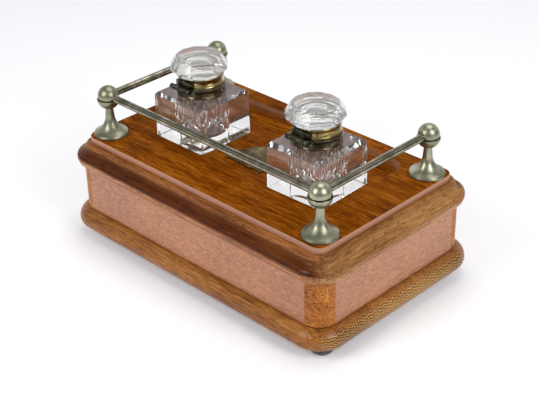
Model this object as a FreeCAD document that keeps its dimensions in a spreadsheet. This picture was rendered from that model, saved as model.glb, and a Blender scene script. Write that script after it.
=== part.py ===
"""Desk inkstand: a wooden box on bun feet with a drawer, a pen tray, two glass
inkwells with hinged lids, and a metal gallery rail round the back.

X runs along the box, +Y points to the back, +Z is up. The origin is under the
middle of the box, at the height of the surface that the feet stand on.
Lengths are in millimetres.
"""
import FreeCAD, Part
import math
import os

import Sketcher

V = FreeCAD.Vector

# Driving dimensions. Heights are measured up from the table.
SIZES = {
    # Top board, outline at the height of the writing side's surface.
    "top_height": 97.0,
    "board_half_length": 139.8,
    "board_half_depth": 82.1,
    "board_corner": 9.4,
    "board_thick": 13.0,
    "board_edge_round": 0.6,
    # Edge moulding round the board: a small roll, a hollow and a large nose.
    "moulding_drop": 5.6,
    "moulding_step": 1.3,
    "moulding_roll": 4.0,
    "moulding_hollow": 3.0,
    "moulding_nose_round": 5.5,
    "moulding_under_round": 10.95,
    "hollow_high_out": 5.3,
    "hollow_high_drop": 4.3,
    "hollow_low_out": 8.2,
    "hollow_low_drop": 7.5,
    "moulding_reach": 13.65,
    "moulding_nose_drop": 13.0,
    "moulding_height": 22.8,
    "moulding_shelf": 8.0,
    # Walls of the box.
    "wall_out": 7.6,
    "wall_thick": 10.0,
    "body_foot": 28.0,
    # Base board and feet.
    "base_out": 16.6,
    "base_thick": 19.5,
    "base_upper_round": 11.4,
    "base_lower_round": 8.0,
    "foot_radius": 10.5,
    "foot_waist": 7.5,
    "foot_inset_length": 18.4,
    "foot_inset_depth": 20.7,
    # Gallery: four posts with balls, and three rails.
    "post_half_spacing": 125.0,
    "post_shift": 0.7,
    "post_depth": 65.1,
    "post_base_radius": 15.2,
    "post_rim": 1.3,
    "post_flare": 17.0,
    "post_neck_low": 4.0,
    "post_neck_top": 3.45,
    "post_flare_height": 18.5,
    "ball_height": 36.7,
    "ball_radius": 9.1,
    "ball_seam_drop": 2.2,
    "ball_cup": 10.0,
    "post_stud": 2.0,
    "ball_stud": 1.6,
    "rail_radius": 3.3,
    "rail_gap": 3.7,
    "running_gap": 0.05,
    "nut_radius": 4.0,
    "nut_thick": 3.2,
    # Pen tray, a round-bottomed groove with bowl ends.
    "layout_shift": -2.4,
    "tray_half_length": 84.0,
    "tray_half_width": 17.0,
    "tray_depth": 8.8,
    "tray_centre": -49.5,
    # Inkwells, their collars and lids. Heights here are above the board.
    "well_half": 29.0,
    "well_spacing": 67.85,
    "well_back": 10.0,
    "well_height": 41.3,
    "well_recess": 2.0,
    "recess_half": 29.6,
    "bevel_left": 3.2,
    "bevel_right": 2.2,
    "well_turn_left": 1.6,
    "cavity_radius": 16.5,
    "cavity_floor": 5.5,
    "cavity_top": 35.5,
    "mouth_radius": 14.0,
    "neck_radius": 18.0,
    "neck_top": 50.0,
    "plaster_radius": 19.3,
    "collar_radius": 21.2,
    "collar_foot": 41.9,
    "collar_top": 51.0,
    "lid_gap": 0.3,
    "ring_radius": 20.4,
    "ring_inner": 17.2,
    "ring_top": 60.0,
    "lid_spigot": 17.1,
    "lid_low_radius": 20.9,
    "lid_wide_radius": 24.8,
    "lid_top_radius": 19.6,
    "lid_wide_low": 64.6,
    "lid_wide_high": 66.4,
    "lid_top": 74.5,
    # Lid hinge.
    "hinge_back": 24.0,
    "knuckle_radius": 2.3,
    "hinge_pin": 1.0,
    "knuckle_lid_half": 5.0,
    "hinge_half": 11.5,
    "hinge_gap": 0.3,
    # Shield plate.
    "plaque_half": 20.5,
    "plaque_waist": 19.7,
    "plaque_top": 29.5,
    "plaque_waist_y": 12.0,
    "plaque_tip": -9.5,
    "plaque_round": 25.0,
    "plaque_cusp": 7.0,
    "plaque_cusp_y": 28.6,
    "plaque_scallop": 12.5,
    "plaque_middle_scallop": 24.0,
    "plaque_thick": 1.0,
    "pin_radius": 0.8,
    # Drawer.
    "drawer_gap": 0.4,
    "drawer_side_thick": 7.0,
    "drawer_side_height": 31.0,
    "drawer_depth": 150.0,
    "drawer_bottom_thick": 4.0,
    "drawer_bottom_lift": 3.0,
    "drawer_front_thick": 11.0,
    "knob_spacing": 62.0,
    "knob_radius": 5.5,
    "knob_reach": 8.2,
    # Screws.
    "screw_radius": 1.8,
    "screw_head": 3.6,
}

DOC = FreeCAD.newDocument("Inkstand")
PARTS = []


class Size:
    """A number together with the expression that gives it from the sheet."""

    def __init__(self, value, text):
        self.value = value
        self.text = text

    def _join(self, other, sign, value):
        return Size(value, "(%s %s %s)" % (self.text, sign, other.text))

    def __add__(self, other):
        other = size(other)
        return self._join(other, "+", self.value + other.value)

    def __sub__(self, other):
        other = size(other)
        return self._join(other, "-", self.value - other.value)

    def __mul__(self, other):
        other = size(other)
        return self._join(other, "*", self.value * other.value)

    def __truediv__(self, other):
        other = size(other)
        return self._join(other, "/", self.value / other.value)

    def __neg__(self):
        return Size(-self.value, "(0 - %s)" % self.text)

    def __radd__(self, other):
        return size(other) + self

    def __rsub__(self, other):
        return size(other) - self

    def __rmul__(self, other):
        return size(other) * self


def size(number):
    """A Size as it is, or a plain number made into one."""
    if isinstance(number, Size):
        return number
    return Size(float(number), "%.6g" % number)


def make_sheet():
    sheet = DOC.addObject("Spreadsheet::Sheet", "Sizes")
    for row, (name, value) in enumerate(SIZES.items(), start=1):
        sheet.set("A%d" % row, name)
        sheet.set("B%d" % row, str(value))
        sheet.setAlias("B%d" % row, name)
    DOC.recompute()
    return sheet


def cell(name):
    return Size(SIZES[name], "Sizes." + name)


def bind(thing, prop, amount):
    """Bind a property to an expression of the sheet's cells."""
    thing.setExpression(prop, size(amount).text)


def place(thing, x=0, y=0, z=0, turn=0):
    """Put a finished sub-part in the frame: a position and a turn about Z."""
    for axis, amount in (("x", x), ("y", y), ("z", z)):
        bind(thing, "Placement.Base.%s" % axis, amount)
    if turn != 0:
        thing.Placement = FreeCAD.Placement(V(0, 0, 0), V(0, 0, 1), size(turn).value)
        bind(thing, "Placement.Rotation.Angle", turn)


def keep(thing, label):
    """List a finished sub-part under the name of its file."""
    thing.Label = label
    PARTS.append(thing)
    return thing


# ---- sketches and features -------------------------------------------------

def new_body(name):
    return DOC.addObject("PartDesign::Body", "Body_" + name)


def origin_plane(body, role):
    for feature in body.Origin.OriginFeatures:
        if feature.Role == role:
            return feature
    raise ValueError("no plane " + role)


def new_sketch(body, role, name, shift=None):
    """A sketch on an origin plane; shift moves its origin along the plane's own axes."""
    sketch = body.newObject("Sketcher::SketchObject", name)
    sketch.AttachmentSupport = (origin_plane(body, role), [""])
    sketch.MapMode = "FlatFace"
    for axis, amount in (shift or {}).items():
        bind(sketch, "AttachmentOffset.Base.%s" % axis, amount)
    return sketch


def hold(sketch, kind, *where, amount):
    """A dimensional constraint bound to the sheet."""
    index = sketch.addConstraint(Sketcher.Constraint(kind, *where, amount.value))
    sketch.setExpression("Constraints[%d]" % index, amount.text)


def hold_point(sketch, curve, end, x, y):
    for kind, axis, amount in (("DistanceX", -2, size(x)), ("DistanceY", -1, size(y))):
        if abs(amount.value) < 1e-9:
            sketch.addConstraint(Sketcher.Constraint("PointOnObject", curve, end, axis))
        else:
            hold(sketch, kind, -1, 1, curve, end, amount=amount)


def arc_between(start, finish, radius):
    """The shorter arc between two points; a positive radius turns to the left."""
    chord = finish - start
    half = chord.Length / 2
    rise = math.sqrt(max(radius * radius - half * half, 0.0))
    side = V(-chord.y, chord.x, 0).normalize()
    centre = (start + finish) / 2 + side * math.copysign(rise, radius)
    first, last = (start, finish) if radius > 0 else (finish, start)
    angles = [math.atan2(p.y - centre.y, p.x - centre.x) for p in (first, last)]
    return Part.ArcOfCircle(Part.Circle(centre, V(0, 0, 1), abs(radius)), angles[0], angles[1])


def draw(sketch, corners):
    """A closed outline. A corner is (x, y), or (x, y, radius) where an arc leaves it."""
    points = [V(size(c[0]).value, size(c[1]).value, 0) for c in corners]
    ends = []
    for i, corner in enumerate(corners):
        start = points[i]
        finish = points[(i + 1) % len(points)]
        if len(corner) == 3:
            radius = size(corner[2])
            curve = sketch.addGeometry(arc_between(start, finish, radius.value), False)
            ends.append((curve, 1, 2) if radius.value > 0 else (curve, 2, 1))
        else:
            curve = sketch.addGeometry(Part.LineSegment(start, finish), False)
            ends.append((curve, 1, 2))
    for i, (curve, first, last) in enumerate(ends):
        after, after_first, _ = ends[(i + 1) % len(ends)]
        sketch.addConstraint(Sketcher.Constraint("Coincident", curve, last, after, after_first))
    for (curve, first, _), corner in zip(ends, corners):
        hold_point(sketch, curve, first, corner[0], corner[1])
        if len(corner) == 3:
            radius = size(corner[2])
            hold(sketch, "Radius", curve, amount=radius if radius.value > 0 else -radius)
    return sketch


def draw_circle(sketch, x, y, radius):
    x, y, radius = size(x), size(y), size(radius)
    circle = Part.Circle(V(x.value, y.value, 0), V(0, 0, 1), radius.value)
    curve = sketch.addGeometry(circle, False)
    hold_point(sketch, curve, 3, x, y)
    hold(sketch, "Radius", curve, amount=radius)


def rectangle(x0, y0, x1, y1):
    return [(x0, y0), (x1, y0), (x1, y1), (x0, y1)]


def rounded(half_x, half_y, radius):
    """Outline of a rectangle about the origin with rounded corners."""
    short_x = half_x - radius
    short_y = half_y - radius
    return [
        (-short_x, -half_y), (short_x, -half_y, radius),
        (half_x, -short_y), (half_x, short_y, radius),
        (short_x, half_y), (-short_x, half_y, radius),
        (-half_x, short_y), (-half_x, -short_y, radius),
    ]


def extrude(body, sketch, length, kind="Pad", midplane=False, reverse=False):
    feature = body.newObject("PartDesign::" + kind, sketch.Name + "_" + kind)
    feature.Profile = sketch
    feature.Reversed = reverse
    if midplane:
        feature.SideType = "Symmetric"
    bind(feature, "Length", length)
    sketch.Visibility = False
    return feature


def revolve(body, sketch, kind="Revolution", angle=360, reverse=False):
    """Turn a sketch about its own upright axis."""
    feature = body.newObject("PartDesign::" + kind, sketch.Name + "_" + kind)
    feature.Profile = sketch
    feature.ReferenceAxis = (sketch, ["V_Axis"])
    feature.Angle = angle
    feature.Reversed = reverse
    sketch.Visibility = False
    return feature


def mirror(body, feature, role):
    copy = body.newObject("PartDesign::Mirrored", feature.Name + "_Mirrored")
    copy.Originals = [feature]
    copy.MirrorPlane = (origin_plane(body, role), [""])
    body.Tip = copy
    return copy


def flat_edges(shape, height):
    """Names of the edges that lie level at one height."""
    names = []
    for i, edge in enumerate(shape.Edges, start=1):
        box = edge.BoundBox
        if abs(box.ZMin - height) < 1e-4 and abs(box.ZMax - height) < 1e-4:
            names.append("Edge%d" % i)
    return names


def dress(body, base, kind, height, amount):
    """Fillet or chamfer every edge of base at one height."""
    DOC.recompute()
    names = flat_edges(base.Shape, size(height).value)
    feature = body.newObject("PartDesign::" + kind, base.Name + "_" + kind)
    feature.Base = (base, names)
    prop = "Radius" if kind == "Fillet" else "Size"
    setattr(feature, prop, size(amount).value)
    bind(feature, prop, amount)
    return feature


def block(name, x0, x1, y0, y1, z0, z1):
    """A plain board, given by its low and high corner in the frame."""
    body = new_body(name)
    sketch = new_sketch(body, "XY_Plane", name + "_plan")
    draw(sketch, rectangle(0, 0, size(x1) - x0, size(y1) - y0))
    extrude(body, sketch, size(z1) - z0)
    place(body, x0, y0, z0)
    return body


def turned(name, corners, x=0, y=0, z=0):
    """A turned piece: half its section is drawn as radius and height."""
    body = new_body(name)
    sketch = new_sketch(body, "XZ_Plane", name + "_section")
    draw(sketch, corners)
    revolve(body, sketch)
    place(body, x, y, z)
    return body


def drill(body, name, spots, radius, low, high):
    """Round upright holes through a body, from one height to another."""
    sketch = new_sketch(body, "XY_Plane", name, {"z": low})
    for x, y in spots:
        draw_circle(sketch, x, y, radius)
    return extrude(body, sketch, size(high) - low, kind="Pocket", reverse=True)


def primitive(kind, name, **amounts):
    thing = DOC.addObject("Part::" + kind, name)
    for prop, amount in amounts.items():
        bind(thing, prop, amount)
    return thing


def cylinder(name, radius, height, x=0, y=0, z=0):
    thing = primitive("Cylinder", name, Radius=radius, Height=height)
    place(thing, x, y, z)
    return thing


def lying_cylinder(name, radius, length, x, y, z, along):
    """A rod from (x, y, z) along +X, or along +Y."""
    thing = primitive("Cylinder", name, Radius=radius, Height=length)
    axis, angle = (V(0, 1, 0), 90) if along == "x" else (V(1, 0, 0), -90)
    thing.Placement = FreeCAD.Placement(V(0, 0, 0), FreeCAD.Rotation(axis, angle))
    for side, amount in (("x", x), ("y", y), ("z", z)):
        bind(thing, "Placement.Base.%s" % side, amount)
    return thing


def cut(name, base, tool):
    thing = DOC.addObject("Part::Cut", name)
    thing.Base = base
    thing.Tool = tool
    return thing


def fuse(name, pieces):
    thing = DOC.addObject("Part::MultiFuse", name)
    thing.Shapes = pieces
    return thing


def group(name, pieces):
    thing = DOC.addObject("Part::Compound", name)
    thing.Links = pieces
    return thing


# ---- places that several pieces share --------------------------------------

make_sheet()

TOP = cell("top_height")
HALF_X = cell("board_half_length")
HALF_Y = cell("board_half_depth")
CORNER = cell("board_corner")
BOARD_LOW = TOP - cell("board_thick")
MOULDING_TOP = TOP - cell("moulding_drop")
MOULDING_LOW = MOULDING_TOP - cell("moulding_height")
BODY_LOW = cell("body_foot")
BASE_LOW = BODY_LOW - cell("base_thick")
WALL_X = HALF_X + cell("wall_out")
WALL_Y = HALF_Y + cell("wall_out")
WALL_IN_X = WALL_X - cell("wall_thick")
WALL_IN_Y = WALL_Y - cell("wall_thick")
CORNER_X = HALF_X - CORNER
CORNER_Y = HALF_Y - CORNER
CORNER_POST = CORNER + cell("wall_out")
SCREW = cell("screw_radius")
HEAD = cell("screw_head")
HEAD_DEPTH = 2.4
SLIDE_GAP = 0.15

SIDES = (("left", -1), ("right", 1))
ENDS = (("front", -1), ("rear", 1))
CORNERS = [(end + "_" + side, sx, sy) for end, sy in ENDS for side, sx in SIDES]

FOOT_X = WALL_X + cell("wall_out") - cell("foot_inset_length")
FOOT_Y = WALL_Y + cell("wall_out") - cell("foot_inset_depth")
FOOT_SPOTS = [(sx * FOOT_X, sy * FOOT_Y) for _, sx, sy in CORNERS]

POST_SPOTS = {
    name: (cell("post_shift") + sx * cell("post_half_spacing"), sy * cell("post_depth"))
    for name, sx, sy in CORNERS
}
RAIL_HEIGHT = TOP + cell("ball_height")

BASE_SCREW_SPOTS = [
    (sx * (HALF_X - 60), WALL_Y - cell("wall_thick") / 2) for _, sx in SIDES
] + [
    (sx * (WALL_X - cell("wall_thick") / 2), sy * size(45)) for _, sx in SIDES for _, sy in ENDS
]
BASE_SCREW_TOP = BODY_LOW + 16

TOP_SCREW_INSET = cell("moulding_shelf") / 2 + 0.5
TOP_SCREW_SPOTS = [
    (sx * (HALF_X - 70), sy * (HALF_Y - TOP_SCREW_INSET)) for _, sx in SIDES for _, sy in ENDS
] + [
    (sx * (HALF_X - TOP_SCREW_INSET), sy * size(30)) for _, sx in SIDES for _, sy in ENDS
]
TOP_SCREW_TOP = BOARD_LOW + 7
TOP_SCREW_HEAD = 6.0

WELLS = (
    ("left", cell("layout_shift") - cell("well_spacing"), cell("well_turn_left"), "bevel_left"),
    ("right", cell("layout_shift") + cell("well_spacing"), size(0), "bevel_right"),
)
WELL_Y = cell("well_back")
PIN_SPOTS = [(-11, 20), (11, 20), (0, -3)]


# ---- base board, feet and walls --------------------------------------------

def make_base():
    """Solid base board with a bullnose edge, drilled for the feet and the walls."""
    body = new_body("base")
    out = cell("base_out")
    sketch = new_sketch(body, "XY_Plane", "base_plan", {"z": BASE_LOW})
    draw(sketch, rounded(HALF_X + out, HALF_Y + out, CORNER + out))
    pad = extrude(body, sketch, cell("base_thick"))
    upper = dress(body, pad, "Fillet", BODY_LOW, cell("base_upper_round"))
    dress(body, upper, "Fillet", BASE_LOW, cell("base_lower_round"))
    drill(body, "base_foot_holes", FOOT_SPOTS, SCREW, BASE_LOW - 1, BASE_LOW + 12)
    drill(body, "base_wall_holes", BASE_SCREW_SPOTS, SCREW, BASE_LOW - 1, BODY_LOW + 1)
    drill(body, "base_wall_heads", BASE_SCREW_SPOTS, HEAD + 0.4, BASE_LOW - 1, BASE_LOW + HEAD_DEPTH)
    place(body)
    keep(body, "base_board")


def make_feet():
    """Turned bun feet, each hollowed below for its screw."""
    radius = cell("foot_radius")
    waist = cell("foot_waist")
    bulge = BASE_LOW / 2
    pocket = HEAD + 0.6
    for name, sx, sy in CORNERS:
        body = turned("foot_" + name, [
            (SCREW, BASE_LOW),
            (SCREW, size(4.5)),
            (pocket, size(4.5)),
            (pocket, 0),
            (waist, 0, size(7)),
            (radius, bulge, size(6)),
            (waist + 0.8, BASE_LOW),
        ], sx * FOOT_X, sy * FOOT_Y)
        keep(body, "foot_" + name)


def wall_block(name, x0, x1, y0, y1, drilled):
    body = block(name, x0, x1, y0, y1, BODY_LOW, MOULDING_LOW)
    spots = [(x - x0, y - y0) for x, y in drilled]
    drill(body, name + "_holes", spots, SCREW, -1, BASE_SCREW_TOP - BODY_LOW)
    keep(body, name)


def make_walls():
    """Rear and end walls. The front is open for the drawer."""
    wall_block("wall_rear", -CORNER_X, CORNER_X, WALL_IN_Y, WALL_Y, BASE_SCREW_SPOTS[:2])
    wall_block("wall_left", -WALL_X, -WALL_IN_X, -CORNER_Y, CORNER_Y, BASE_SCREW_SPOTS[2:4])
    wall_block("wall_right", WALL_IN_X, WALL_X, -CORNER_Y, CORNER_Y, BASE_SCREW_SPOTS[4:6])


def make_corner_posts():
    """Quarter-round posts that join the walls at the rounded corners."""
    turns = {"rear_right": 0, "rear_left": 90, "front_left": 180, "front_right": 270}
    for name, sx, sy in CORNERS:
        body = new_body("corner_" + name)
        sketch = new_sketch(body, "XY_Plane", "corner_%s_plan" % name)
        draw(sketch, [(0, 0), (CORNER_POST, 0, CORNER_POST), (0, CORNER_POST)])
        extrude(body, sketch, MOULDING_LOW - BODY_LOW)
        place(body, sx * CORNER_X, sy * CORNER_Y, BODY_LOW, turns[name])
        keep(body, "corner_post_" + name)


# ---- moulding and top board ------------------------------------------------

def moulding_section(edge):
    """Section of the moulding: roll, hollow, nose and curved underside, with a shelf inside."""
    under = cell("moulding_under_round")
    nose_height = MOULDING_TOP - cell("moulding_nose_drop")
    nose = edge + cell("moulding_reach")
    drop = (nose_height - MOULDING_LOW).value
    root = Size(
        math.sqrt(under.value ** 2 - drop ** 2),
        "sqrt(%s ^ 2 - %s ^ 2)" % (under.text, (nose_height - MOULDING_LOW).text),
    )
    shelf = edge - cell("moulding_shelf")
    return [
        (edge, MOULDING_TOP),
        (edge + cell("moulding_step"), MOULDING_TOP, -cell("moulding_roll")),
        (edge + cell("hollow_high_out"), MOULDING_TOP - cell("hollow_high_drop"),
         cell("moulding_hollow")),
        (edge + cell("hollow_low_out"), MOULDING_TOP - cell("hollow_low_drop"),
         -cell("moulding_nose_round")),
        (nose, nose_height, -under),
        (nose - under + root, MOULDING_LOW),
        (shelf, MOULDING_LOW),
        (shelf, BOARD_LOW),
        (edge, BOARD_LOW),
    ]


def make_moulding(name, straight, edge, turn, spots):
    """One side of the mitred frame, drawn along X with its show side towards +Y."""
    body = new_body("moulding_" + name)
    middle = new_sketch(body, "YZ_Plane", "moulding_%s_middle" % name)
    draw(middle, moulding_section(edge))
    extrude(body, middle, straight * 2, midplane=True)
    shift = {"x": edge - CORNER, "z": straight}
    end = new_sketch(body, "YZ_Plane", "moulding_%s_end" % name, shift)
    draw(end, moulding_section(CORNER))
    corner = revolve(body, end, angle=45, reverse=True)
    mirror(body, corner, "YZ_Plane")
    DOC.recompute()
    drill(body, "moulding_%s_holes" % name, spots, SCREW, MOULDING_LOW - 1, BOARD_LOW + 1)
    drill(body, "moulding_%s_heads" % name, spots, HEAD + 0.4, MOULDING_LOW - 1,
          MOULDING_LOW + TOP_SCREW_HEAD)
    place(body, turn=turn)
    keep(body, "moulding_" + name)


def make_mouldings():
    inset = TOP_SCREW_INSET
    long_spots = [(sx * (HALF_X - 70), HALF_Y - inset) for _, sx in SIDES]
    short_spots = [(sx * size(30), HALF_X - inset) for _, sx in SIDES]
    make_moulding("rear", CORNER_X, HALF_Y, 0, long_spots)
    make_moulding("left", CORNER_Y, HALF_X, 90, short_spots)
    make_moulding("front", CORNER_X, HALF_Y, 180, long_spots)
    make_moulding("right", CORNER_Y, HALF_X, 270, short_spots)


def cut_tray(body):
    """The pen tray: a shallow round-bottomed channel that ends in two bowls."""
    half = cell("tray_half_width")
    depth = cell("tray_depth")
    bottom = TOP - depth
    bowl = (half * half + depth * depth) / (depth * 2)
    middle = new_sketch(body, "YZ_Plane", "tray_middle", {"z": cell("layout_shift")})
    centre = cell("tray_centre")
    draw(middle, [
        (centre - half, TOP, bowl),
        (centre, bottom, bowl),
        (centre + half, TOP),
        (centre + half, TOP + 2),
        (centre - half, TOP + 2),
    ])
    extrude(body, middle, cell("tray_half_length") * 2, kind="Pocket", midplane=True)
    for side, sign in SIDES:
        shift = {"x": cell("layout_shift") + sign * cell("tray_half_length"), "z": -centre}
        end = new_sketch(body, "XZ_Plane", "tray_" + side, shift)
        draw(end, [
            (0, bottom, bowl),
            (half, TOP),
            (half, TOP + 2),
            (0, TOP + 2),
        ])
        revolve(body, end, kind="Groove")


def cut_recesses(body):
    """Square recesses that the inkwells stand in."""
    half = cell("recess_half")
    floor = TOP - cell("well_recess")
    for name, x, turn, _ in WELLS:
        sketch = new_sketch(body, "XY_Plane", "recess_" + name, {"z": floor})
        cosine = Size(math.cos(math.radians(turn.value)), "cos(%s * 1 deg)" % turn.text)
        sine = Size(math.sin(math.radians(turn.value)), "sin(%s * 1 deg)" % turn.text)
        corners = []
        for sx, sy in ((-1, -1), (1, -1), (1, 1), (-1, 1)):
            corners.append((
                x + half * (sx * cosine - sy * sine),
                WELL_Y + half * (sx * sine + sy * cosine),
            ))
        draw(sketch, corners)
        extrude(body, sketch, cell("well_recess") + 1, kind="Pocket", reverse=True)


def make_top():
    """Top board with the pen tray, the recesses and the holes of what stands on it."""
    body = new_body("top")
    sketch = new_sketch(body, "XY_Plane", "top_plan", {"z": BOARD_LOW})
    draw(sketch, rounded(HALF_X, HALF_Y, CORNER))
    pad = extrude(body, sketch, cell("board_thick"))
    dress(body, pad, "Fillet", TOP, cell("board_edge_round"))
    cut_tray(body)
    cut_recesses(body)
    stud = cell("post_stud")
    drill(body, "top_post_holes", list(POST_SPOTS.values()), stud + 0.1, BOARD_LOW - 1, TOP + 1)
    drill(body, "top_screw_holes", TOP_SCREW_SPOTS, SCREW, BOARD_LOW - 1, TOP_SCREW_TOP)
    spots = [(cell("layout_shift") + x, size(y)) for x, y in PIN_SPOTS]
    drill(body, "top_pin_holes", spots, cell("pin_radius"), TOP - 6, TOP + 1)
    place(body)
    keep(body, "top_board")


def make_plaque():
    """Thin shield plate with a scalloped upper edge, and the pins under it."""
    body = new_body("plaque")
    sketch = new_sketch(body, "XY_Plane", "plaque_plan")
    half, waist = cell("plaque_half"), cell("plaque_waist")
    top, waist_y = cell("plaque_top"), cell("plaque_waist_y")
    cusp, cusp_y = cell("plaque_cusp"), cell("plaque_cusp_y")
    side_round, scallop = cell("plaque_round"), cell("plaque_scallop")
    draw(sketch, [
        (0, cell("plaque_tip"), side_round),
        (waist, waist_y),
        (half, top, -scallop),
        (cusp, cusp_y, -cell("plaque_middle_scallop")),
        (-cusp, cusp_y, -scallop),
        (-half, top),
        (-waist, waist_y, side_round),
    ])
    extrude(body, sketch, cell("plaque_thick"))
    place(body, cell("layout_shift"), 0, TOP)
    keep(body, "plaque")
    pins = [
        cylinder("plaque_pin_%d" % i, cell("pin_radius"), 6, cell("layout_shift") + x, y, TOP - 6)
        for i, (x, y) in enumerate(PIN_SPOTS, start=1)
    ]
    keep(group("plaque_pin_set", pins), "plaque_pins")


# ---- screws ----------------------------------------------------------------

def screw(name, x, y, head_low, length):
    """A countersunk wood screw standing point up."""
    shank = cylinder(name + "_shank", SCREW, size(length) - 2.2, x, y, head_low + 2.2)
    head = primitive("Cone", name + "_head", Radius1=HEAD, Radius2=SCREW, Height=2.2)
    place(head, x, y, head_low)
    return fuse(name, [shank, head])


def make_screws():
    base = [
        screw("base_screw_%d" % i, x, y, BASE_LOW + 0.2, BASE_SCREW_TOP - BASE_LOW - 1)
        for i, (x, y) in enumerate(BASE_SCREW_SPOTS, start=1)
    ]
    keep(group("base_screw_set", base), "base_screws")
    feet = [
        screw("foot_screw_%d" % i, x, y, size(2.3), BASE_LOW + 8)
        for i, (x, y) in enumerate(FOOT_SPOTS, start=1)
    ]
    keep(group("foot_screw_set", feet), "foot_screws")
    head_low = MOULDING_LOW + TOP_SCREW_HEAD - 2.2
    top = [
        screw("top_screw_%d" % i, x, y, head_low, TOP_SCREW_TOP - head_low - 0.5)
        for i, (x, y) in enumerate(TOP_SCREW_SPOTS, start=1)
    ]
    keep(group("top_screw_set", top), "top_screws")


# ---- gallery ---------------------------------------------------------------

def ball_reach(drop):
    """Radius of the ball at some distance above or below its centre."""
    ball = cell("ball_radius")
    drop = size(drop)
    return Size(
        math.sqrt(ball.value ** 2 - drop.value ** 2),
        "sqrt(%s ^ 2 - %s ^ 2)" % (ball.text, drop.text),
    )


def rail_tools(name, x, y, sides):
    """The rods that cut the rail holes of one ball."""
    radius = cell("rail_radius") + cell("running_gap")
    gap = cell("rail_gap") - cell("running_gap")
    reach = size(12)
    tools = []
    for side in sides:
        if side == "left":
            start = (x - gap - reach, y)
        elif side == "right":
            start = (x + gap, y)
        elif side == "front":
            start = (x, y - gap - reach)
        else:
            start = (x, y + gap)
        along = "x" if side in ("left", "right") else "y"
        tool_name = "rail_hole_%s_%s" % (name, side)
        tools.append(lying_cylinder(tool_name, radius, reach, *start, RAIL_HEIGHT, along))
    if len(tools) == 1:
        return tools[0]
    return fuse("rail_holes_" + name, tools)


def post_section():
    """Half section of a post: stud, flared foot, neck and the cup that holds the ball."""
    stud = cell("post_stud")
    rim = cell("post_base_radius")
    flare = cell("post_flare")
    low = cell("post_neck_low")
    neck = cell("post_neck_top")
    knee = cell("post_flare_height")
    lip = rim - 0.7
    reach = low + flare - lip
    lip_height = Size(
        knee.value - math.sqrt(flare.value ** 2 - reach.value ** 2),
        "(%s - sqrt(%s ^ 2 - %s ^ 2))" % (knee.text, flare.text, reach.text),
    )
    cup = cell("ball_cup")
    bowl = Size(
        math.sqrt(cup.value ** 2 - neck.value ** 2),
        "sqrt(%s ^ 2 - %s ^ 2)" % (cup.text, neck.text),
    )
    lip_edge = 0.5
    mouth = Size(
        math.sqrt(cup.value ** 2 - lip_edge ** 2),
        "sqrt(%s ^ 2 - %s ^ 2)" % (cup.text, lip_edge),
    )
    seam = cell("ball_height") - cell("ball_seam_drop")
    return [
        (0, -cell("board_thick") - 6),
        (stud, -cell("board_thick") - 6),
        (stud, 0),
        (rim, 0),
        (rim, cell("post_rim")),
        (lip, lip_height, -flare),
        (low, knee),
        (neck, seam - bowl, cup),
        (mouth, seam - lip_edge),
        (cup - lip_edge, seam),
        (cell("ball_stud"), seam),
        (cell("ball_stud"), cell("ball_height") + 3),
        (0, cell("ball_height") + 3),
    ]


def ball_section():
    """Half section of the upper part of a ball, bored for the post's stud."""
    ball = cell("ball_radius")
    seam = cell("ball_height") - cell("ball_seam_drop")
    bore = cell("ball_stud") + cell("running_gap")
    bore_top = cell("ball_height") + 3.3
    return [
        (bore, seam + 0.1),
        (ball_reach(cell("ball_seam_drop")) - 0.5, seam + 0.1),
        (ball_reach(cell("ball_seam_drop") - 0.7), seam + 0.7, ball),
        (0, cell("ball_height") + ball),
        (0, bore_top),
        (bore, bore_top),
    ]


def make_gallery():
    """Posts and balls, notched together for the rails, and the nuts below the board."""
    rail_sides = {
        "front_left": ("rear",), "front_right": ("rear",),
        "rear_left": ("front", "right"), "rear_right": ("front", "left"),
    }
    nuts = []
    for name, (x, y) in POST_SPOTS.items():
        tools = rail_tools(name, x, y, rail_sides[name])
        post = turned("post_" + name, post_section(), x, y, TOP)
        ball = turned("ball_" + name, ball_section(), x, y, TOP)
        keep(cut("post_cut_" + name, post, tools), "gallery_post_" + name)
        keep(cut("ball_cut_" + name, ball, tools), "gallery_ball_" + name)
        nuts.append(make_nut(name, x, y))
    keep(group("nut_set", nuts), "post_nuts")


def make_nut(name, x, y):
    low = BOARD_LOW - cell("nut_thick")
    body = primitive("Prism", "nut_body_" + name, Circumradius=cell("nut_radius"),
                     Height=cell("nut_thick"))
    body.Polygon = 6
    place(body, x, y, low)
    hole = cylinder("nut_hole_" + name, cell("post_stud"), cell("nut_thick") + 2, x, y, low - 1)
    return cut("nut_" + name, body, hole)


def make_rails():
    radius = cell("rail_radius")
    gap = cell("rail_gap")
    shift = cell("post_shift")
    spacing = cell("post_half_spacing")
    depth = cell("post_depth")
    rear = lying_cylinder("rear_rod", radius, (spacing - gap) * 2,
                          shift - spacing + gap, depth, RAIL_HEIGHT, "x")
    keep(rear, "rail_rear")
    for side, sign in SIDES:
        rod = lying_cylinder(side + "_rod", radius, (depth - gap) * 2,
                             shift + sign * spacing, gap - depth, RAIL_HEIGHT, "y")
        keep(rod, "rail_" + side)


# ---- inkwells --------------------------------------------------------------

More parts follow.
